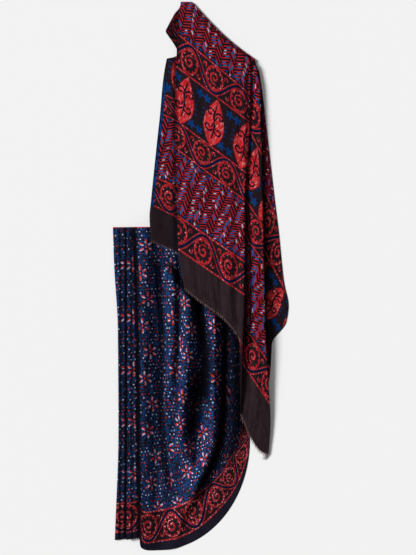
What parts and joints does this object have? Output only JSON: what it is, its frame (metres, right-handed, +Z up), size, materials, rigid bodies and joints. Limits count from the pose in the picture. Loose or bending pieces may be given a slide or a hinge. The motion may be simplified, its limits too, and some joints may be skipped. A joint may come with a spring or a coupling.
{
  "type": "dabu print sari",
  "caption": "Laid-out cotton sari with a pleated, swagged skirt and a long folded end panel with a frayed edge.",
  "frame": {"origin": "under the middle of the laid-out cloth's box, on the surface that it lies on", "axes": "+Y from the hem up to the shoulder fold, +X to the side of the long lengthwise folds, +Z up off the surface"},
  "size_m": [0.5637, 1.7636, 0.053],
  "materials": {
    "printed_cotton": "soft matt cotton, mud-resist block printed in red, indigo, near-black and white",
    "frayed_cotton": "matt dark brown cotton threads at the frayed end"
  },
  "bodies": {
    "root": {"sari_cloth": "printed_cotton", "frayed_end_flap": "frayed_cotton", "frayed_end_middle": "frayed_cotton", "frayed_end_side": "frayed_cotton"}
  },
  "joints": []
}
